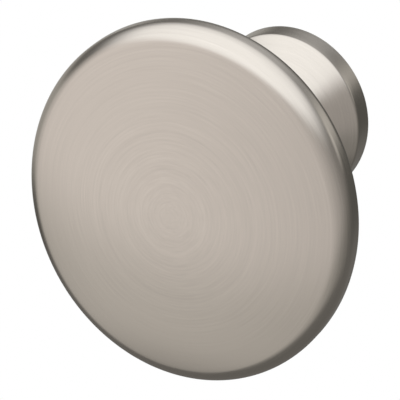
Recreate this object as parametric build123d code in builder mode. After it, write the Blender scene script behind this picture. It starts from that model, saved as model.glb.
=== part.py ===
"""A round cabinet knob, turned from one piece of metal. All lengths are in millimetres.

The knob is built as it sits on a door: the door's face is the plane y = 0, the knob stands out of it
towards -Y, and +Z is up. One half section, turned about the Y axis, gives the whole outside.
"""

from build123d import *
from math import asin, cos, degrees, isclose, radians, sin, tan
import os

# Driving dimensions: the round head that is gripped
HEAD_DIAMETER = 32.0
PROJECTION = 27.8  # from the door to the middle of the crowned face
CROWN_RADIUS = 46.0  # the shallow dome of the face
FACE_EDGE_RADIUS = 2.1  # rolls the crown over into the rim
RIM_WIDTH = 1.9  # the side of the head behind that roll, up to the corner that is rounded off
RIM_BACK_RADIUS = 1.3
UNDERSIDE_SLOPE = 10.0  # degrees that the head's back leans towards the door on its way to the neck

# Driving dimensions: the straight neck, and the sloped foot and base ring that it spreads out to
SHOULDER_RADIUS = 5.0
NECK_DIAMETER = 10.0
FOOT_BLEND_RADIUS = 3.0
FOOT_SLOPE = 45.0  # degrees that the foot's side leans out from the neck
BASE_DIAMETER = 16.2
BASE_WIDTH = 2.6
BASE_FRONT_RADIUS = 0.5
BASE_BACK_CHAMFER = 0.15

# Driving dimensions: the tapped hole for an M4 screw that comes through the door
TAP_DRILL_DIAMETER = 3.3
HOLE_DEPTH = 14.0
HOLE_MOUTH_DIAMETER = 4.4
HOLE_MOUTH_ANGLE = 90.0
DRILL_POINT_ANGLE = 118.0

# Worked out from the head: where the crown meets its rolled edge, and where the rim ends
head_radius = HEAD_DIAMETER / 2
edge_centre_radius = head_radius - FACE_EDGE_RADIUS
crown_half_angle = degrees(asin(edge_centre_radius / (CROWN_RADIUS - FACE_EDGE_RADIUS)))
edge_centre_y = CROWN_RADIUS - PROJECTION - (CROWN_RADIUS - FACE_EDGE_RADIUS) * cos(radians(crown_half_angle))
rim_back_y = edge_centre_y + RIM_WIDTH

# Worked out from the neck: where the underside turns into the shoulder, and where the foot begins
neck_radius = NECK_DIAMETER / 2
base_radius = BASE_DIAMETER / 2
slope = radians(UNDERSIDE_SLOPE)
underside_end_radius = neck_radius + SHOULDER_RADIUS * (1 - sin(slope))
underside_end_y = rim_back_y + (head_radius - underside_end_radius) * tan(slope)
foot_slope = radians(FOOT_SLOPE)
foot_blend_growth = FOOT_BLEND_RADIUS * (1 - cos(foot_slope))
foot_side_length = (base_radius - neck_radius - foot_blend_growth) / tan(foot_slope)
foot_y = -BASE_WIDTH - foot_side_length - FOOT_BLEND_RADIUS * sin(foot_slope)

tap_drill_radius = TAP_DRILL_DIAMETER / 2
drill_point_length = tap_drill_radius / tan(radians(DRILL_POINT_ANGLE / 2))


def corners(section, radius):
    """The half section's corners at one distance from the axis, from the face to the door."""
    at_radius = section.vertices().filter_by(lambda corner: isclose(corner.X, radius, abs_tol=1e-4))
    return at_radius.sort_by(Axis.Y)


with BuildPart() as knob:
    # Half section, from the middle of the face round the rim, in to the neck and out along the foot
    with BuildSketch(Plane.XY) as section:
        with BuildLine():
            crown = JernArc((0, -PROJECTION), (1, 0), CROWN_RADIUS, crown_half_angle)
            face_edge = JernArc(crown @ 1, crown % 1, FACE_EDGE_RADIUS, 90 - crown_half_angle)
            rim = Line(face_edge @ 1, (head_radius, rim_back_y))
            underside = Line(rim @ 1, (underside_end_radius, underside_end_y))
            shoulder = JernArc(underside @ 1, underside % 1, SHOULDER_RADIUS, UNDERSIDE_SLOPE - 90)
            neck = Line(shoulder @ 1, (neck_radius, foot_y))
            foot_blend = JernArc(neck @ 1, neck % 1, FOOT_BLEND_RADIUS, -FOOT_SLOPE)
            Polyline(foot_blend @ 1, (base_radius, -BASE_WIDTH), (base_radius, 0), (0, 0), crown @ 0)
        make_face()

        # Rounded and broken edges: the back of the rim, and both sides of the base ring
        fillet(corners(section, head_radius)[-1], RIM_BACK_RADIUS)
        fillet(corners(section, base_radius)[0], BASE_FRONT_RADIUS)
        chamfer(corners(section, base_radius)[-1], BASE_BACK_CHAMFER)
    revolve(axis=Axis.Y)

    # Blind screw hole from the door side, with a countersunk mouth and the drill's pointed end
    with Locations(knob.faces().sort_by(Axis.Y)[-1]):
        CounterSinkHole(tap_drill_radius, HOLE_MOUTH_DIAMETER / 2, HOLE_DEPTH, HOLE_MOUTH_ANGLE)
    with Locations(Plane((0, -HOLE_DEPTH, 0), z_dir=(0, -1, 0))):
        Cone(
            tap_drill_radius,
            0,
            drill_point_length,
            align=(Align.CENTER, Align.CENTER, Align.MIN),
            mode=Mode.SUBTRACT,
        )

knob.part.label = "knob"

os.makedirs("parts", exist_ok=True)
export_step(knob.part, "parts/knob.step")
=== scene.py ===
"""A brushed nickel cabinet knob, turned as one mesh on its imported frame, and a small studio to see it in.

The knob is drawn as half a section, from the middle of its face round to the bottom of its screw hole,
and that section is turned about the Y axis. The door is the plane y = 0, the face looks along -Y and
+Z is up. Lengths are in metres, unless a comment or a description says millimetres.
"""

from collections import namedtuple
from math import asin, cos, hypot, pi, radians, sin, tan

import bpy
from bpy.props import FloatProperty, FloatVectorProperty, IntProperty, PointerProperty
from mathutils import Matrix, Vector


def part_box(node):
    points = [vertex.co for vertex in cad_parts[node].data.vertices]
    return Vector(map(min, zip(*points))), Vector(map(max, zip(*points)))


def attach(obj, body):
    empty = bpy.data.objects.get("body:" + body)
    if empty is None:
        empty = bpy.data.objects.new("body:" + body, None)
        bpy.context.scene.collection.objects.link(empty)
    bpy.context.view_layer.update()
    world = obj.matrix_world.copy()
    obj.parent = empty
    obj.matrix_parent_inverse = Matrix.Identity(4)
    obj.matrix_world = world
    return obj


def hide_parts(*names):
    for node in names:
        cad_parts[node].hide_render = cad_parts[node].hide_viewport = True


bl_info = {
    "name": "Cabinet Knob",
    "version": (1, 0, 0),
    "blender": (4, 5, 0),
    "location": "3D View > Sidebar > Knob",
    "description": "Turns a brushed nickel cabinet knob with its screw hole, and sets a studio round it",
    "category": "Object",
}

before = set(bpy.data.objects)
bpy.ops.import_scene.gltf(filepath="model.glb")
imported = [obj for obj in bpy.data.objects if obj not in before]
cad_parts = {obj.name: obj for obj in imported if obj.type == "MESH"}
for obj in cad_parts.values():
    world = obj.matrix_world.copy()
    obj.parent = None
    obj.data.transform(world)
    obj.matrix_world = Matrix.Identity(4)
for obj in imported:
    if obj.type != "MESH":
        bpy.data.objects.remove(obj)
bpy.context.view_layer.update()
KNOB_LOW, KNOB_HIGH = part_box("knob")
MM = 0.001
SLOT = "brushed_nickel"

# How finely the section's curves and straight runs are drawn
CROWN_STEPS = 48
EDGE_STEPS = 26
RIM_STEPS = 3
SMALL_CORNER_STEPS = 8
UNDERSIDE_STEPS = 6
SHOULDER_STEPS = 22
NECK_STEPS = 8
FOOT_STEPS = 16
BASE_STEPS = 3
BACK_STEPS = 8
MOUTH_STEPS = 4
UNTAPPED_STEPS = 2
DRILL_POINT_STEPS = 6
ROWS_PER_PITCH = 12
SHARP_CORNER = radians(28)
TOUCHING = 0.0001 * MM
SECTION_LENGTH = "section_length"

# The thread's form: the slant of its flanks, then, as shares of a pitch, the flat of its groove and its run
# in from the mouth
THREAD_FLANK = radians(30)
THREAD_FLAT = 1 / 8
THREAD_LEAD_IN = 1 / 3

# The three finishes, in the order of the mesh's materials
OUTSIDE, BORE, BACK = range(3)
Metal = namedtuple("Metal", "color roughness brushing ring_contrast face_ring_contrast relief")
Relief = namedtuple("Relief", "width breaks depth")

# Brush marks: the noise that draws them, how often the long rings and the short streaks break off on their
# way round, and how much duller and glossier than the metal the streaks are
MARK_DETAIL = 2.0
MARK_ROUGHNESS = 0.6
RING_BREAKS = 0.30
STREAK_BREAKS = 2.2
MARK_DULLNESS = 0.16
# From the way round the axis, along the marks, to the way across them, which blurs more
QUARTER_TURN = 0.25
# The marks are strongest in the middle of the face, and fade to a share of that some millimetres from it
FADED_MARKS = 0.65
MARK_FADE_END = 12.0
# The few rings on the face that stand out: millimetres from its middle, and how light each is from -1 to 1
FACE_RINGS = ((2.2, -0.4), (3.3, 0.9), (4.2, -0.6), (5.2, 0.4), (7.4, -0.8), (8.1, 0.4))
# In millimetres, how far each fades on either side, and where the ramp that holds them ends. Plain metal is
# a middle grey in that ramp.
FACE_RING_HALF_WIDTH = 0.4
FACE_RINGS_END = 16.0
PLAIN_SHADE = 0.5

# Studio
SENSOR_WIDTH = 36.0  # millimetres
NEAREST_SEEN = 0.01
FARTHEST_SEEN = 20.0
# How much of its white the world lights the floor with
WORLD_FILL = 0.6
FLOOR_WIDTH = 4.0
FLOOR_COLOR = (0.85, 0.85, 0.85, 1.0)
# How white the floor looks near the knob, where its shadow shows, and where that starts and stops fading
SHADOW_WHITENESS = 0.7
SHADOW_FULL_REACH = 0.15
SHADOW_END_REACH = 0.40

# The light tent that the knob mirrors. Its directions are degrees round from the front, where the right is
# positive, and degrees up from level. A level of 1 is white.
TENT_GLOW = "tent_glow"
TENT_COLUMNS = 121
TENT_ROWS = 91
WALL_LEVEL = 0.18
WALL_COLOR = Vector((0.98, 1.0, 0.98))
# The front wall is lit, from a soft edge at the left to a long fade at the right
FRONT_LEVEL = 1.08
FRONT_COLOR = Vector((1.005, 1.0, 1.0))
FRONT_LEFT_EDGE = -76.0
FRONT_LEFT_SOFTNESS = 20.0
FRONT_RIGHT_EDGE = 54.0
FRONT_RIGHT_SOFTNESS = 100.0
# The walls dim towards their foot, from their full light to a share of it, and end at a dark floor. Both
# reach higher at the back.
FULL_LIGHT = Vector((1.0, 1.0, 1.0))
FOOT_LIGHT = Vector((0.71, 0.72, 0.705))
FOOT_EDGE = -34.0
FOOT_SOFTNESS = 12.0
TENT_FLOOR_LEVEL = 0.2
TENT_FLOOR_EDGE = -61.0
TENT_FLOOR_SOFTNESS = 8.0
TENT_FLOOR_RISE = 40.0
# The bright roof is a little cool, and dimmer at the back, where its edge is softer too. The edge is lowest
# at the front right.
ROOF_EDGE = 30.0
ROOF_RISE = 5.0
ROOF_LOW_SIDE = 50.0
ROOF_FRONT_SOFTNESS = 10.0
ROOF_BACK_SOFTNESS = 18.0
ROOF_COLOR = Vector((0.95, 1.0, 1.04))
ROOF_FRONT_LEVEL = 1.8
ROOF_BACK_LEVEL = 1.2
ROOF_TOP_LEVEL = 1.75
ROOF_SIDES_END = 35.0
ROOF_TOP_START = 75.0
# Two pale cards that stand before the dim walls. One leans, by degrees sideways for each degree of rise.
Card = namedtuple("Card", "azimuth elevation half_width half_height lean level")
CARD_SOFTNESS = 6.0
RIGHT_CARD = Card(azimuth=140.0, elevation=14.0, half_width=16.0, half_height=7.0, lean=0.8, level=0.7)
LEFT_CARD = Card(azimuth=-118.0, elevation=-6.0, half_width=42.0, half_height=14.0, lean=0.0, level=0.35)


class KnobSizes(bpy.types.PropertyGroup):
    """The outside of the knob, as it is turned"""

    head_diameter: FloatProperty(
        name="Head diameter",
        description="Across the round head that is gripped",
        default=KNOB_HIGH.x - KNOB_LOW.x,
        unit="LENGTH",
        precision=5,
    )
    projection: FloatProperty(
        name="Projection",
        description="From the door to the middle of the crowned face",
        default=KNOB_HIGH.y - KNOB_LOW.y,
        unit="LENGTH",
        precision=5,
    )
    crown_radius: FloatProperty(
        name="Crown radius",
        description="Radius of the shallow dome of the face",
        default=46.0 * MM,
        unit="LENGTH",
        precision=5,
    )
    face_edge_radius: FloatProperty(
        name="Face edge radius",
        description="Radius that rolls the crown over into the rim",
        default=2.1 * MM,
        unit="LENGTH",
        precision=5,
    )
    rim_width: FloatProperty(
        name="Rim width",
        description="Side of the head behind the rolled edge, up to the corner that is rounded off",
        default=1.9 * MM,
        unit="LENGTH",
        precision=5,
    )
    rim_back_radius: FloatProperty(
        name="Rim back radius",
        description="Rounded edge at the back of the rim",
        default=1.3 * MM,
        unit="LENGTH",
        precision=5,
    )
    underside_slope: FloatProperty(
        name="Underside slope",
        description="How far the head's back leans towards the door on its way to the neck",
        default=radians(10.0),
        subtype="ANGLE",
    )
    shoulder_radius: FloatProperty(
        name="Shoulder radius",
        description="Inside curve between the head's back and the neck",
        default=5.0 * MM,
        unit="LENGTH",
        precision=5,
    )
    neck_diameter: FloatProperty(
        name="Neck diameter",
        description="Across the straight part of the neck",
        default=10.0 * MM,
        unit="LENGTH",
        precision=5,
    )
    foot_blend_radius: FloatProperty(
        name="Foot blend radius",
        description="Inside curve between the neck and its sloped foot",
        default=3.0 * MM,
        unit="LENGTH",
        precision=5,
    )
    foot_slope: FloatProperty(
        name="Foot slope",
        description="How far the foot's side leans out from the neck",
        default=radians(45.0),
        subtype="ANGLE",
    )
    base_diameter: FloatProperty(
        name="Base diameter",
        description="Across the ring that seats on the door",
        default=16.2 * MM,
        unit="LENGTH",
        precision=5,
    )
    base_width: FloatProperty(
        name="Base width",
        description="Width of the ring that seats on the door",
        default=2.6 * MM,
        unit="LENGTH",
        precision=5,
    )
    base_front_radius: FloatProperty(
        name="Base front radius",
        description="Rounded edge where the foot meets the base ring",
        default=0.5 * MM,
        unit="LENGTH",
        precision=5,
    )
    base_back_chamfer: FloatProperty(
        name="Base back chamfer",
        description="Small chamfer where the base ring meets the door",
        default=0.15 * MM,
        unit="LENGTH",
        precision=5,
    )
    segments: IntProperty(
        name="Segments",
        description="Steps in one turn about the axis",
        default=192,
        min=32,
    )


class HoleSizes(bpy.types.PropertyGroup):
    """The tapped hole in the back, for the screw that comes through the door"""

    tap_drill_diameter: FloatProperty(
        name="Tap drill diameter",
        description="Across the hole before it is tapped",
        default=3.3 * MM,
        unit="LENGTH",
        precision=5,
    )
    thread_diameter: FloatProperty(
        name="Thread diameter",
        description="Across the bottom of the thread's groove, which is the screw's own size",
        default=4.0 * MM,
        unit="LENGTH",
        precision=5,
    )
    thread_pitch: FloatProperty(
        name="Thread pitch",
        description="From one turn of the thread to the next",
        default=0.7 * MM,
        unit="LENGTH",
        precision=5,
    )
    thread_depth: FloatProperty(
        name="Threaded depth",
        description="How deep the thread reaches from the back face",
        default=12.0 * MM,
        unit="LENGTH",
        precision=5,
    )
    hole_depth: FloatProperty(
        name="Hole depth",
        description="Depth of the drilled wall, without the drill's point",
        default=14.0 * MM,
        unit="LENGTH",
        precision=5,
    )
    mouth_diameter: FloatProperty(
        name="Mouth diameter",
        description="Across the countersunk mouth of the hole",
        default=4.4 * MM,
        unit="LENGTH",
        precision=5,
    )
    drill_point_angle: FloatProperty(
        name="Drill point angle",
        description="Full angle of the cone at the bottom of the hole",
        default=radians(118.0),
        subtype="ANGLE",
    )


class NickelFinish(bpy.types.PropertyGroup):
    """The brushed nickel plating"""

    color: FloatVectorProperty(
        name="Nickel",
        description="Colour of the plated metal",
        default=(0.52, 0.465, 0.412),
        subtype="COLOR",
        size=3,
        min=0.0,
        max=1.0,
    )
    edge_color: FloatVectorProperty(
        name="Edge tint",
        description="Keeps the metal's own colour where it is seen at a low slant",
        default=(1.0, 0.97, 0.94),
        subtype="COLOR",
        size=3,
        min=0.0,
        max=1.0,
    )
    bore_color: FloatVectorProperty(
        name="Bore",
        description="Colour of the thin plating inside the screw hole",
        default=(0.44, 0.42, 0.40),
        subtype="COLOR",
        size=3,
        min=0.0,
        max=1.0,
    )
    roughness: FloatProperty(
        name="Roughness",
        description="How far the brushing blurs what the metal mirrors",
        default=0.22,
        min=0.0,
        max=1.0,
        subtype="FACTOR",
    )
    bore_roughness: FloatProperty(
        name="Bore roughness",
        description="How far the tapped wall of the screw hole blurs what it mirrors",
        default=0.38,
        min=0.0,
        max=1.0,
        subtype="FACTOR",
    )
    brushing: FloatProperty(
        name="Brushing",
        description="How much more the metal blurs across the brush marks than along them",
        default=0.20,
        min=0.0,
        max=1.0,
        subtype="FACTOR",
    )
    facing_roughness: FloatProperty(
        name="Facing roughness",
        description="How far the turned flat back blurs what it mirrors",
        default=0.30,
        min=0.0,
        max=1.0,
        subtype="FACTOR",
    )
    facing_brushing: FloatProperty(
        name="Facing brushing",
        description="How much more the flat back blurs across its tool marks than along them",
        default=0.60,
        min=0.0,
        max=1.0,
        subtype="FACTOR",
    )
    facing_width: FloatProperty(
        name="Facing width",
        description="Width of the tool marks turned in the flat back",
        default=0.22 * MM,
        unit="LENGTH",
        precision=5,
    )
    facing_depth: FloatProperty(
        name="Facing depth",
        description="Depth of the tool marks turned in the flat back",
        default=0.015 * MM,
        unit="LENGTH",
        precision=6,
    )
    facing_contrast: FloatProperty(
        name="Facing contrast",
        description="How much lighter and darker the tool marks turned in the flat back are than the metal",
        default=0.6,
        min=0.0,
        max=1.0,
        subtype="FACTOR",
    )
    ring_contrast: FloatProperty(
        name="Ring contrast",
        description="How much lighter and darker the long rings are than the metal",
        default=0.10,
        min=0.0,
        max=1.0,
        subtype="FACTOR",
    )
    streak_contrast: FloatProperty(
        name="Streak contrast",
        description="How much lighter and darker the short streaks are than the metal",
        default=0.20,
        min=0.0,
        max=1.0,
        subtype="FACTOR",
    )
    face_ring_contrast: FloatProperty(
        name="Face ring contrast",
        description="How much lighter and darker the rings that stand out on the face are than the metal",
        default=0.054,
        min=0.0,
        max=1.0,
        subtype="FACTOR",
    )
    ring_width: FloatProperty(
        name="Ring width",
        description="Width of the long rings",
        default=0.19 * MM,
        unit="LENGTH",
        precision=5,
    )
    streak_width: FloatProperty(
        name="Streak width",
        description="Width of the short streaks",
        default=0.14 * MM,
        unit="LENGTH",
        precision=5,
    )
    mark_depth: FloatProperty(
        name="Mark depth",
        description="Depth of the brush marks",
        default=0.0005 * MM,
        unit="LENGTH",
        precision=6,
    )


class StudioSettings(bpy.types.PropertyGroup):
    """The camera, the softbox, the light tent and the floor"""

    camera_azimuth: FloatProperty(
        name="Camera azimuth",
        description="How far the camera stands to the right of the face's axis",
        default=radians(24.389),
        subtype="ANGLE",
    )
    camera_elevation: FloatProperty(
        name="Camera elevation",
        description="How far the camera looks down",
        default=radians(22.110),
        subtype="ANGLE",
    )
    camera_distance: FloatProperty(
        name="Camera distance",
        description="From the point that the camera aims at",
        default=339.32 * MM,
        unit="LENGTH",
    )
    camera_aim: FloatVectorProperty(
        name="Camera aim",
        description="The point in the middle of the picture",
        default=(0.302 * MM, -22.101 * MM, -0.506 * MM),
        subtype="XYZ",
        unit="LENGTH",
        size=3,
        precision=5,
    )
    camera_lens: FloatProperty(
        name="Lens",
        description="Focal length of the lens in millimetres, on a sensor 36 mm wide",
        default=334.98,
    )
    softbox_height: FloatProperty(
        name="Softbox height",
        description="Height of the round overhead softbox above the knob's axis",
        default=0.30,
        unit="LENGTH",
    )
    softbox_diameter: FloatProperty(
        name="Softbox diameter",
        description="Across the round overhead softbox",
        default=0.96,
        unit="LENGTH",
    )
    softbox_level: FloatProperty(
        name="Softbox level",
        description="Brightness of the softbox, where 1 is white",
        default=0.80,
    )
    softbox_color: FloatVectorProperty(
        name="Softbox colour",
        description="Colour of the softbox's light",
        default=(0.90, 0.97, 1.0),
        subtype="COLOR",
        size=3,
        min=0.0,
        max=1.0,
    )
    tent_radius: FloatProperty(
        name="Tent radius",
        description="Radius of the light tent that the knob mirrors",
        default=0.30,
        unit="LENGTH",
    )
    floor_drop: FloatProperty(
        name="Floor drop",
        description="How far below the knob's axis the floor lies",
        default=0.33,
        unit="LENGTH",
    )


def along_line(start, end, steps=1):
    """Points of the section on a straight line, both ends included."""
    points = []
    for step in range(steps + 1):
        share = step / steps
        points.append((start[0] + (end[0] - start[0]) * share, start[1] + (end[1] - start[1]) * share))
    return points


def along_arc(centre, radius, start, end, steps):
    """Points of the section on an arc.

    An angle of 0 faces as the face does, and 90 degrees faces away from the axis. A hollow arc, seen from
    outside the metal, has a negative radius.
    """
    points = []
    for step in range(steps + 1):
        angle = start + (end - start) * step / steps
        points.append((centre[0] + radius * sin(angle), centre[1] - radius * cos(angle)))
    return points


def head_section(sizes):
    """The head, from the middle of the face to the end of its underside."""
    head_radius = sizes.head_diameter / 2
    edge_radius = sizes.face_edge_radius
    edge_centre_radius = head_radius - edge_radius
    inner_radius = sizes.crown_radius - edge_radius
    half_angle = asin(edge_centre_radius / inner_radius)
    crown_centre_y = sizes.crown_radius - sizes.projection
    edge_centre_y = crown_centre_y - inner_radius * cos(half_angle)
    rim_back_y = edge_centre_y + sizes.rim_width
    slope = sizes.underside_slope
    underside_radius = sizes.neck_diameter / 2 + sizes.shoulder_radius * (1 - sin(slope))
    underside_y = rim_back_y + (head_radius - underside_radius) * tan(slope)

    # The rounded corner behind the rim turns from the rim's side to the underside's slope
    corner = sizes.rim_back_radius
    corner_start_y = rim_back_y - corner * tan((pi / 2 - slope) / 2)
    corner_end = pi - slope

    section = along_arc((0, crown_centre_y), sizes.crown_radius, 0, half_angle, CROWN_STEPS)
    section += along_arc((edge_centre_radius, edge_centre_y), edge_radius, half_angle, pi / 2, EDGE_STEPS)
    section += along_line((head_radius, edge_centre_y), (head_radius, corner_start_y), RIM_STEPS)
    section += along_arc(
        (head_radius - corner, corner_start_y), corner, pi / 2, corner_end, SMALL_CORNER_STEPS
    )
    section += along_line(section[-1], (underside_radius, underside_y), UNDERSIDE_STEPS)
    return section


def neck_section(sizes, start_y):
    """The shoulder, the straight neck and the hollow curve into its foot, from the end of the underside."""
    neck_radius = sizes.neck_diameter / 2
    waist_y = start_y + sizes.shoulder_radius * cos(sizes.underside_slope)
    blend = sizes.foot_blend_radius
    slope = sizes.foot_slope
    blend_growth = blend * (1 - cos(slope))
    cone_growth = sizes.base_diameter / 2 - neck_radius - blend_growth
    cone_length = cone_growth / tan(slope)
    foot_y = -sizes.base_width - cone_length - blend * sin(slope)

    section = along_arc(
        (neck_radius + sizes.shoulder_radius, waist_y),
        -sizes.shoulder_radius,
        pi - sizes.underside_slope,
        pi / 2,
        SHOULDER_STEPS,
    )
    section += along_line((neck_radius, waist_y), (neck_radius, foot_y), NECK_STEPS)
    section += along_arc((neck_radius + blend, foot_y), -blend, pi / 2, pi / 2 - slope, FOOT_STEPS)
    return section


def base_section(sizes, mouth_radius):
    """The foot's sloped side, the base ring and the flat back, as far as the mouth of the screw hole."""
    base_radius = sizes.base_diameter / 2
    corner = sizes.base_front_radius
    chamfer = sizes.base_back_chamfer
    corner_end_y = corner * tan(sizes.foot_slope / 2) - sizes.base_width

    section = along_arc(
        (base_radius - corner, corner_end_y), corner, pi / 2 - sizes.foot_slope, pi / 2, SMALL_CORNER_STEPS
    )
    section += along_line((base_radius, corner_end_y), (base_radius, -chamfer), BASE_STEPS)
    section += along_line((base_radius, -chamfer), (base_radius - chamfer, 0))
    section += along_line((base_radius - chamfer, 0), (mouth_radius, 0), BACK_STEPS)
    return section


def mouth_depth(hole):
    """Depth of the hole's mouth, which slopes at 45 degrees, so it is as deep as it is wide."""
    return (hole.mouth_diameter - hole.tap_drill_diameter) / 2


def hole_section(hole):
    """The screw hole, from its mouth to the tip of the drill's point."""
    wall_radius = hole.tap_drill_diameter / 2
    mouth_end_y = -mouth_depth(hole)
    point_length = wall_radius / tan(hole.drill_point_angle / 2)
    thread_rows = round((hole.thread_depth + mouth_end_y) / hole.thread_pitch * ROWS_PER_PITCH)

    section = along_line((hole.mouth_diameter / 2, 0), (wall_radius, mouth_end_y), MOUTH_STEPS)
    section += along_line((wall_radius, mouth_end_y), (wall_radius, -hole.thread_depth), thread_rows)
    section += along_line(
        (wall_radius, -hole.thread_depth), (wall_radius, -hole.hole_depth), UNTAPPED_STEPS
    )
    section += along_line(
        (wall_radius, -hole.hole_depth), (0, -hole.hole_depth - point_length), DRILL_POINT_STEPS
    )
    return section


def without_repeats(section):
    """The section with each point once, where one run ends and the next begins."""
    points = [section[0]]
    for point in section[1:]:
        last = points[-1]
        if hypot(point[0] - last[0], point[1] - last[1]) > TOUCHING:
            points.append(point)
    return points


def thread_groove(hole, y, turn):
    """How far the thread cuts into the hole's wall at one height and one part of a turn."""
    from_mouth = -y - mouth_depth(hole)
    from_end = hole.thread_depth + y
    if from_mouth < 0 or from_end < 0:
        return 0.0
    depth = (hole.thread_diameter - hole.tap_drill_diameter) / 2
    bottom_half_width = hole.thread_pitch * THREAD_FLAT / 2
    flank_width = depth * tan(THREAD_FLANK)
    place = (y / hole.thread_pitch - turn) % 1.0
    from_groove = abs(place - 0.5) * hole.thread_pitch
    cut = 1 - (from_groove - bottom_half_width) / flank_width
    lead_in = hole.thread_pitch * THREAD_LEAD_IN
    run_out = min(1.0, from_mouth / lead_in, from_end / hole.thread_pitch)
    return depth * run_out * max(0.0, min(1.0, cut))


def turned_mesh(name, section, segments, hole):
    """Turns a section about the Y axis, from its start on the axis to its end there, and cuts the thread.

    Each vertex keeps how far along the section it is, which the brush marks follow.
    """
    wall_radius = hole.tap_drill_diameter / 2
    tip = (0.0, section[0][1], 0.0)
    bottom = (0.0, section[-1][1], 0.0)
    rings = section[1:-1]
    vertices = [tip]
    lengths = [0.0]
    for last, (radius, y) in zip(section, rings):
        length = lengths[-1] + hypot(radius - last[0], y - last[1])
        on_wall = abs(radius - wall_radius) < TOUCHING
        for segment in range(segments):
            turn = segment / segments
            cut_radius = radius + thread_groove(hole, y, turn) if on_wall else radius
            angle = 2 * pi * turn
            vertices.append((cut_radius * cos(angle), y, cut_radius * sin(angle)))
            lengths.append(length)
    vertices.append(bottom)
    lengths.append(lengths[-1] + hypot(rings[-1][0], rings[-1][1] - bottom[1]))

    faces = []
    last_vertex = len(vertices) - 1
    last_ring = last_vertex - segments
    for segment in range(segments):
        following = (segment + 1) % segments
        faces.append((0, 1 + segment, 1 + following))
        for ring in range(len(rings) - 1):
            start = 1 + ring * segments
            end = start + segments
            faces.append((start + segment, end + segment, end + following, start + following))
        faces.append((last_ring + segment, last_vertex, last_ring + following))

    mesh = bpy.data.meshes.new(name)
    mesh.from_pydata(vertices, [], faces)
    mesh.validate()
    mesh.shade_smooth()
    mesh.set_sharp_from_angle(angle=SHARP_CORNER)
    along = mesh.attributes.new(SECTION_LENGTH, "FLOAT", "POINT")
    along.data.foreach_set("value", lengths)
    return mesh


def add_node(tree, kind, **settings):
    """A node with its settings. A setting that is not one of the node's own is a socket's value."""
    node = tree.nodes.new(kind)
    for name, value in settings.items():
        if hasattr(node, name):
            setattr(node, name, value)
        else:
            node.inputs[name.replace("_", " ")].default_value = value
    return node


def calculate(tree, operation, first, second):
    """A Math node of two inputs, each a socket or a number, and its result."""
    node = tree.nodes.new("ShaderNodeMath")
    node.operation = operation
    for socket, value in zip(node.inputs, (first, second)):
        if isinstance(value, (int, float)):
            socket.default_value = value
        else:
            tree.links.new(value, socket)
    return node.outputs[0]


def section_length(tree):
    """How far along the section a point is, in metres from the middle of the face."""
    return add_node(tree, "ShaderNodeAttribute", attribute_name=SECTION_LENGTH).outputs["Fac"]


def centred(tree, marks, amount):
    """Marks from 0 to 1 as a share that is added or taken away, up to half the amount each way."""
    return calculate(tree, "MULTIPLY", calculate(tree, "SUBTRACT", marks, 0.5), amount)


def mark_strength(tree):
    """How strong the brush marks are, by how far along the section they are."""
    fade = tree.nodes.new("ShaderNodeMapRange")
    fade.inputs["From Max"].default_value = MARK_FADE_END * MM
    fade.inputs["To Min"].default_value = 1.0
    fade.inputs["To Max"].default_value = FADED_MARKS
    tree.links.new(section_length(tree), fade.inputs["Value"])
    return fade.outputs["Result"]


def turning_marks_group():
    """Brush marks that run round the knob's axis: long arcs, with their own width along the section.

    They come as marks from 0 to 1, and as a lighter and darker shade, strongest in the middle of the face.
    """
    tree = bpy.data.node_groups.new("turning_marks", "ShaderNodeTree")
    tree.interface.new_socket(name="Mark Width", in_out="INPUT", socket_type="NodeSocketFloat")
    tree.interface.new_socket(name="Breaks", in_out="INPUT", socket_type="NodeSocketFloat")
    tree.interface.new_socket(name="Marks", in_out="OUTPUT", socket_type="NodeSocketFloat")
    tree.interface.new_socket(name="Shade", in_out="OUTPUT", socket_type="NodeSocketFloat")

    inputs = tree.nodes.new("NodeGroupInput")
    outputs = tree.nodes.new("NodeGroupOutput")
    place = tree.nodes.new("ShaderNodeTexCoord")
    flat = add_node(tree, "ShaderNodeVectorMath", operation="MULTIPLY")
    flat.inputs[1].default_value = (1.0, 0.0, 1.0)
    around = add_node(tree, "ShaderNodeVectorMath", operation="NORMALIZE")
    spread = add_node(tree, "ShaderNodeVectorMath", operation="SCALE")
    across = tree.nodes.new("ShaderNodeCombineXYZ")
    marks_at = add_node(tree, "ShaderNodeVectorMath", operation="ADD")
    noise = add_node(tree, "ShaderNodeTexNoise", Scale=1.0, Detail=MARK_DETAIL, Roughness=MARK_ROUGHNESS)

    links = tree.links
    links.new(place.outputs["Object"], flat.inputs[0])
    links.new(flat.outputs[0], around.inputs[0])
    links.new(around.outputs[0], spread.inputs[0])
    links.new(inputs.outputs["Breaks"], spread.inputs["Scale"])
    in_widths = calculate(tree, "DIVIDE", section_length(tree), inputs.outputs["Mark Width"])
    links.new(in_widths, across.inputs["Y"])
    links.new(spread.outputs[0], marks_at.inputs[0])
    links.new(across.outputs[0], marks_at.inputs[1])
    links.new(marks_at.outputs[0], noise.inputs["Vector"])
    links.new(noise.outputs["Fac"], outputs.inputs["Marks"])
    links.new(centred(tree, noise.outputs["Fac"], mark_strength(tree)), outputs.inputs["Shade"])
    return tree


def place_marks(tree, group, width, breaks):
    """One copy of the brush marks in a material."""
    node = tree.nodes.new("ShaderNodeGroup")
    node.node_tree = group
    node.inputs["Mark Width"].default_value = width
    node.inputs["Breaks"].default_value = breaks
    return node


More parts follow.
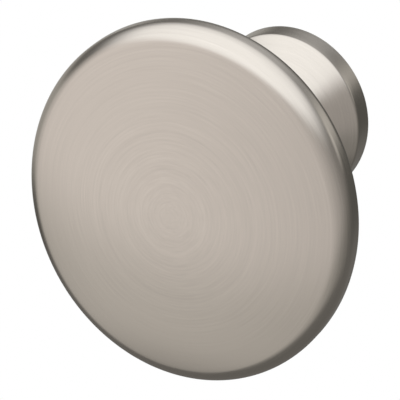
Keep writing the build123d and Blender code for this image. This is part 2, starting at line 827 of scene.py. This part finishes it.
def face_rings(tree):
    """The rings that stand out on the face, from 0 to 1, with plain metal at a half."""
    rings = tree.nodes.new("ShaderNodeValToRGB")
    ramp = rings.color_ramp
    ramp.interpolation = "EASE"
    plain = (PLAIN_SHADE, PLAIN_SHADE, PLAIN_SHADE, 1.0)
    ramp.elements[0].color = plain
    ramp.elements[1].color = plain
    for place, lightness in FACE_RINGS:
        shade = PLAIN_SHADE + lightness / 2
        ramp.elements.new(place / FACE_RINGS_END).color = (shade, shade, shade, 1.0)
        for side in (-FACE_RING_HALF_WIDTH, FACE_RING_HALF_WIDTH):
            ramp.elements.new((place + side) / FACE_RINGS_END).color = plain
    share = calculate(tree, "DIVIDE", section_length(tree), FACE_RINGS_END * MM)
    tree.links.new(share, rings.inputs["Fac"])
    return rings.outputs["Color"]


def brushed_metal(name, marks, finish, metal):
    """A metal whose colour, gloss and surface follow marks that run round the knob's axis."""
    material = bpy.data.materials.new(name)
    material.use_nodes = True
    tree = material.node_tree
    surface = tree.nodes["Principled BSDF"]
    surface.inputs["Metallic"].default_value = 1.0
    surface.inputs["Specular Tint"].default_value = (*finish.edge_color, 1.0)
    surface.inputs["Anisotropic"].default_value = metal.brushing
    surface.inputs["Anisotropic Rotation"].default_value = QUARTER_TURN
    tangent = add_node(tree, "ShaderNodeTangent", direction_type="RADIAL", axis="Y")
    tree.links.new(tangent.outputs[0], surface.inputs["Tangent"])
    rings = place_marks(tree, marks, finish.ring_width, RING_BREAKS)
    streaks = place_marks(tree, marks, finish.streak_width, STREAK_BREAKS)

    # Lighter and darker marks
    ring_shade = calculate(tree, "MULTIPLY", rings.outputs["Shade"], metal.ring_contrast)
    streak_shade = calculate(tree, "MULTIPLY", streaks.outputs["Shade"], finish.streak_contrast)
    shade = calculate(tree, "ADD", ring_shade, streak_shade)
    if metal.face_ring_contrast:
        shade = calculate(tree, "ADD", shade, centred(tree, face_rings(tree), metal.face_ring_contrast))
    tint = add_node(tree, "ShaderNodeVectorMath", operation="SCALE")
    tint.inputs[0].default_value = metal.color
    tree.links.new(calculate(tree, "ADD", shade, 1.0), tint.inputs["Scale"])
    tree.links.new(tint.outputs[0], surface.inputs["Base Color"])

    # Glossier and duller marks
    dullness = centred(tree, streaks.outputs["Marks"], MARK_DULLNESS)
    tree.links.new(calculate(tree, "ADD", dullness, metal.roughness), surface.inputs["Roughness"])

    # Marks that can be felt
    relief = tree.nodes.new("ShaderNodeBump")
    relief.inputs["Distance"].default_value = metal.relief.depth
    height = place_marks(tree, marks, metal.relief.width, metal.relief.breaks)
    tree.links.new(height.outputs["Marks"], relief.inputs["Height"])
    tree.links.new(relief.outputs[0], surface.inputs["Normal"])
    return material


def knob_metals(finish):
    """The knob's metals by their names, in the order of its finishes."""
    streaks = Relief(finish.streak_width, STREAK_BREAKS, finish.mark_depth)
    tool_marks = Relief(finish.facing_width, RING_BREAKS, finish.facing_depth)
    return {
        SLOT: Metal(
            color=finish.color,
            roughness=finish.roughness,
            brushing=finish.brushing,
            ring_contrast=finish.ring_contrast,
            face_ring_contrast=finish.face_ring_contrast,
            relief=streaks,
        ),
        "tapped_bore": Metal(
            color=finish.bore_color,
            roughness=finish.bore_roughness,
            brushing=finish.brushing,
            ring_contrast=finish.ring_contrast,
            face_ring_contrast=0.0,
            relief=streaks,
        ),
        "faced_back": Metal(
            color=finish.color,
            roughness=finish.facing_roughness,
            brushing=finish.facing_brushing,
            ring_contrast=finish.facing_contrast,
            face_ring_contrast=0.0,
            relief=tool_marks,
        ),
    }


def finish_at(place, hole):
    """Which of the finishes a place on the knob has."""
    from_axis = hypot(place.x, place.z)
    # The drill's point ends less than a drill's width past the hole's wall
    past_hole_y = -hole.hole_depth - hole.tap_drill_diameter
    if from_axis < hole.mouth_diameter / 2 and place.y > past_hole_y:
        return BORE
    if place.y > -TOUCHING:
        return BACK
    return OUTSIDE


def seen_directly(tree):
    """1 for rays from the camera, or from there by a mirror or through glass, and 0 for the rest."""
    path = tree.nodes.new("ShaderNodeLightPath")
    seen = calculate(tree, "MAXIMUM", path.outputs["Is Camera Ray"], path.outputs["Is Glossy Ray"])
    return calculate(tree, "MAXIMUM", seen, path.outputs["Is Transmission Ray"])


def set_white_world(scene):
    """A world that looks white, and lights the floor a little less."""
    world = bpy.data.worlds.new("white_studio")
    world.use_nodes = True
    scene.world = world
    tree = world.node_tree
    background = tree.nodes["Background"]
    background.inputs["Color"].default_value = (1.0, 1.0, 1.0, 1.0)
    extra = calculate(tree, "MULTIPLY", seen_directly(tree), 1.0 - WORLD_FILL)
    tree.links.new(calculate(tree, "ADD", extra, WORLD_FILL), background.inputs["Strength"])


def stage_object(name, mesh, material):
    """An object of the studio, which is no part of the knob."""
    mesh.materials.append(material)
    thing = bpy.data.objects.new(name, mesh)
    bpy.context.scene.collection.objects.link(thing)
    return thing


def floor_material():
    """White where it is seen, with the knob's shadow kept near the middle."""
    material = bpy.data.materials.new("white_floor")
    material.use_nodes = True
    tree = material.node_tree
    tree.nodes.remove(tree.nodes["Principled BSDF"])
    output = tree.nodes["Material Output"]
    paper = add_node(tree, "ShaderNodeBsdfDiffuse", Color=FLOOR_COLOR)
    white = add_node(tree, "ShaderNodeEmission", Color=(1.0, 1.0, 1.0, 1.0), Strength=1.0)
    place = tree.nodes.new("ShaderNodeTexCoord")
    away = add_node(tree, "ShaderNodeVectorMath", operation="LENGTH")
    tree.links.new(place.outputs["Object"], away.inputs[0])
    fade = tree.nodes.new("ShaderNodeMapRange")
    fade.interpolation_type = "SMOOTHSTEP"
    fade.inputs["From Min"].default_value = SHADOW_FULL_REACH
    fade.inputs["From Max"].default_value = SHADOW_END_REACH
    fade.inputs["To Min"].default_value = SHADOW_WHITENESS
    fade.inputs["To Max"].default_value = 1.0
    tree.links.new(away.outputs["Value"], fade.inputs["Value"])
    shown = tree.nodes.new("ShaderNodeMixShader")
    tree.links.new(calculate(tree, "MULTIPLY", seen_directly(tree), fade.outputs[0]), shown.inputs[0])
    tree.links.new(paper.outputs[0], shown.inputs[1])
    tree.links.new(white.outputs[0], shown.inputs[2])

    # From below, the floor is clear
    side = tree.nodes.new("ShaderNodeNewGeometry")
    clear = tree.nodes.new("ShaderNodeBsdfTransparent")
    sided = tree.nodes.new("ShaderNodeMixShader")
    tree.links.new(side.outputs["Backfacing"], sided.inputs[0])
    tree.links.new(shown.outputs[0], sided.inputs[1])
    tree.links.new(clear.outputs[0], sided.inputs[2])
    tree.links.new(sided.outputs[0], output.inputs["Surface"])
    return material


def add_floor(drop):
    """A pale floor below the knob."""
    mesh = bpy.data.meshes.new("floor")
    half = FLOOR_WIDTH / 2
    corners = [(-half, -half, 0), (half, -half, 0), (half, half, 0), (-half, half, 0)]
    mesh.from_pydata(corners, [], [(0, 1, 2, 3)])
    floor = stage_object("floor", mesh, floor_material())
    floor.location = (0, 0, -drop)


def tent_material():
    """Cloth that glows as its mesh says at each point."""
    material = bpy.data.materials.new("tent_cloth")
    material.use_nodes = True
    tree = material.node_tree
    tree.nodes.remove(tree.nodes["Principled BSDF"])
    glow = add_node(tree, "ShaderNodeEmission", Strength=1.0)
    color = add_node(tree, "ShaderNodeAttribute", attribute_name=TENT_GLOW)
    tree.links.new(color.outputs["Color"], glow.inputs["Color"])
    tree.links.new(glow.outputs[0], tree.nodes["Material Output"].inputs["Surface"])
    return material


def soft_step(value, middle, fade):
    """0 well below the middle and 1 well above it, with a soft rise between."""
    share = max(0.0, min(1.0, (value - middle + fade) / (2 * fade)))
    return share * share * (3 - 2 * share)


def mix(first, second, share):
    """A value part of the way from the first to the second."""
    return first + (second - first) * share


def share_across(azimuth, side=0.0):
    """0 at one side of the tent, which is the front unless another is given, and 1 across from it."""
    return (1 - cos(radians(azimuth - side))) / 2


def wall_color(azimuth, elevation):
    """The tent's walls in one direction, down to the dark floor."""
    lit = soft_step(azimuth, FRONT_LEFT_EDGE, FRONT_LEFT_SOFTNESS)
    lit *= 1 - soft_step(azimuth, FRONT_RIGHT_EDGE, FRONT_RIGHT_SOFTNESS)
    above_floor = elevation - TENT_FLOOR_RISE * share_across(azimuth)
    wall = mix(WALL_COLOR * WALL_LEVEL, FRONT_COLOR * FRONT_LEVEL, lit)
    wall *= mix(FOOT_LIGHT, FULL_LIGHT, soft_step(above_floor, FOOT_EDGE, FOOT_SOFTNESS))
    wall_share = soft_step(above_floor, TENT_FLOOR_EDGE, TENT_FLOOR_SOFTNESS)
    return mix(WALL_COLOR * TENT_FLOOR_LEVEL, wall, wall_share)


def card_glow(card, azimuth, elevation):
    """How much a card adds to the walls in one direction."""
    rise = elevation - card.elevation
    aside = azimuth - card.azimuth - card.lean * rise
    sideways = soft_step(card.half_width - abs(aside), 0, CARD_SOFTNESS)
    upwards = soft_step(card.half_height - abs(rise), 0, CARD_SOFTNESS)
    return card.level * sideways * upwards


def roof_glow(azimuth, elevation):
    """The tent's roof in one direction."""
    sides = mix(ROOF_FRONT_LEVEL, ROOF_BACK_LEVEL, share_across(azimuth))
    top_share = (elevation - ROOF_SIDES_END) / (ROOF_TOP_START - ROOF_SIDES_END)
    return mix(sides, ROOF_TOP_LEVEL, max(0.0, min(1.0, top_share)))


def tent_color(azimuth, elevation):
    """The tent's glow in one direction: walls, dark floor, cards and bright roof."""
    walls = wall_color(azimuth, elevation)
    for card in (RIGHT_CARD, LEFT_CARD):
        walls += WALL_COLOR * card_glow(card, azimuth, elevation)
    roof = ROOF_COLOR * roof_glow(azimuth, elevation)
    roof_edge = ROOF_EDGE + ROOF_RISE * share_across(azimuth, ROOF_LOW_SIDE)
    softness = mix(ROOF_FRONT_SOFTNESS, ROOF_BACK_SOFTNESS, share_across(azimuth))
    return mix(walls, roof, soft_step(elevation, roof_edge, softness))


def add_tent(radius):
    """The light tent round the knob. Only what mirrors sees it, so the picture stays white."""
    vertices = []
    colors = []
    for row in range(TENT_ROWS):
        elevation = -90.0 + 180.0 * row / (TENT_ROWS - 1)
        rise = radians(elevation)
        for column in range(TENT_COLUMNS):
            azimuth = -180.0 + 360.0 * column / (TENT_COLUMNS - 1)
            turn = radians(azimuth)
            vertices.append(
                (radius * cos(rise) * sin(turn), -radius * cos(rise) * cos(turn), radius * sin(rise))
            )
            colors += [*tent_color(azimuth, elevation), 1.0]
    faces = []
    for row in range(TENT_ROWS - 1):
        for column in range(TENT_COLUMNS - 1):
            start = row * TENT_COLUMNS + column
            above = start + TENT_COLUMNS
            faces.append((start, start + 1, above + 1, above))
    mesh = bpy.data.meshes.new("light_tent")
    mesh.from_pydata(vertices, [], faces)
    glow = mesh.attributes.new(TENT_GLOW, "FLOAT_COLOR", "POINT")
    glow.data.foreach_set("color", colors)
    tent = stage_object("light_tent", mesh, tent_material())
    tent.location = (0, KNOB_LOW.y / 2, 0)
    tent.visible_camera = False
    tent.visible_diffuse = False
    tent.visible_shadow = False


def add_softbox(studio):
    """The round softbox overhead, which lights the floor and isn't mirrored."""
    lamp = bpy.data.lights.new("softbox", "AREA")
    lamp.shape = "DISK"
    lamp.size = studio.softbox_diameter
    lamp.color = studio.softbox_color
    # A flat lamp's power is its brightness times its area times pi
    area = pi * (studio.softbox_diameter / 2) ** 2
    lamp.energy = studio.softbox_level * area * pi
    softbox = bpy.data.objects.new("softbox", lamp)
    softbox.location = (0, KNOB_LOW.y / 2, studio.softbox_height)
    softbox.visible_camera = False
    softbox.visible_glossy = False
    bpy.context.scene.collection.objects.link(softbox)


def add_camera(studio):
    """A camera that looks down at the knob with its film upright, so that upright lines stay upright.

    The camera itself stands level. The rig that carries it slants its line of sight down to the aim.
    """
    azimuth = studio.camera_azimuth
    elevation = studio.camera_elevation
    right = Vector((cos(azimuth), sin(azimuth), 0))
    up = Vector((0, 0, 1))
    level_back = Vector((sin(azimuth), -cos(azimuth), 0))
    slanted_back = level_back * cos(elevation) + up * sin(elevation)
    place = Vector(studio.camera_aim) + slanted_back * studio.camera_distance

    lens = bpy.data.cameras.new("camera")
    lens.sensor_width = SENSOR_WIDTH
    lens.lens = studio.camera_lens
    lens.clip_start = NEAREST_SEEN
    lens.clip_end = FARTHEST_SEEN
    camera = bpy.data.objects.new("camera", lens)
    rig = bpy.data.objects.new("camera_rig", None)
    for thing in (rig, camera):
        bpy.context.scene.collection.objects.link(thing)
    level = Matrix.Translation(place) @ Matrix((right, up, level_back)).transposed().to_4x4()
    slanted = Matrix.Translation(place) @ Matrix((right, up, slanted_back)).transposed().to_4x4()
    camera.parent = rig
    camera.matrix_basis = level
    camera.matrix_parent_inverse = slanted @ level.inverted()
    bpy.context.scene.camera = camera


class OBJECT_OT_turn_knob(bpy.types.Operator):
    """Turn the knob from its section and plate it with brushed nickel"""

    bl_idname = "object.turn_knob"
    bl_label = "Turn Knob"

    def execute(self, context):
        sizes = context.scene.knob_sizes
        hole = context.scene.knob_hole
        finish = context.scene.knob_finish
        section = head_section(sizes)
        section += neck_section(sizes, section[-1][1])
        section += base_section(sizes, hole.mouth_diameter / 2)
        section += hole_section(hole)
        mesh = turned_mesh("turned_knob", without_repeats(section), sizes.segments, hole)
        knob = bpy.data.objects.new("turned_knob", mesh)
        context.scene.collection.objects.link(knob)

        marks = turning_marks_group()
        for name, metal in knob_metals(finish).items():
            mesh.materials.append(brushed_metal(name, marks, finish, metal))
        for face in mesh.polygons:
            face.material_index = finish_at(face.center, hole)

        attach(knob, "root")
        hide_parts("knob")
        return {"FINISHED"}


class SCENE_OT_set_studio(bpy.types.Operator):
    """Set the floor, the light tent, the softbox and the camera round the knob"""

    bl_idname = "scene.set_knob_studio"
    bl_label = "Set Studio"

    def execute(self, context):
        studio = context.scene.knob_studio
        context.scene.view_settings.view_transform = "Standard"
        set_white_world(context.scene)
        add_floor(studio.floor_drop)
        add_tent(studio.tent_radius)
        add_softbox(studio)
        add_camera(studio)
        return {"FINISHED"}


class VIEW3D_PT_cabinet_knob(bpy.types.Panel):
    """The knob's sizes, its finish and its studio"""

    bl_idname = "VIEW3D_PT_cabinet_knob"
    bl_label = "Cabinet Knob"
    bl_space_type = "VIEW_3D"
    bl_region_type = "UI"
    bl_category = "Knob"

    def draw(self, context):
        for title, group, operator in (
            ("Outside", context.scene.knob_sizes, None),
            ("Screw hole", context.scene.knob_hole, None),
            ("Finish", context.scene.knob_finish, OBJECT_OT_turn_knob),
            ("Studio", context.scene.knob_studio, SCENE_OT_set_studio),
        ):
            box = self.layout.box()
            box.label(text=title)
            for name in group.__annotations__:
                box.prop(group, name)
            if operator:
                box.operator(operator.bl_idname)


CLASSES = (
    KnobSizes,
    HoleSizes,
    NickelFinish,
    StudioSettings,
    OBJECT_OT_turn_knob,
    SCENE_OT_set_studio,
    VIEW3D_PT_cabinet_knob,
)


def register():
    for each in CLASSES:
        bpy.utils.register_class(each)
    bpy.types.Scene.knob_sizes = PointerProperty(type=KnobSizes)
    bpy.types.Scene.knob_hole = PointerProperty(type=HoleSizes)
    bpy.types.Scene.knob_finish = PointerProperty(type=NickelFinish)
    bpy.types.Scene.knob_studio = PointerProperty(type=StudioSettings)


def unregister():
    del bpy.types.Scene.knob_studio
    del bpy.types.Scene.knob_finish
    del bpy.types.Scene.knob_hole
    del bpy.types.Scene.knob_sizes
    for each in reversed(CLASSES):
        bpy.utils.unregister_class(each)


def main():
    register()
    bpy.ops.object.turn_knob()
    bpy.ops.scene.set_knob_studio()


if __name__ == "__main__":
    main()
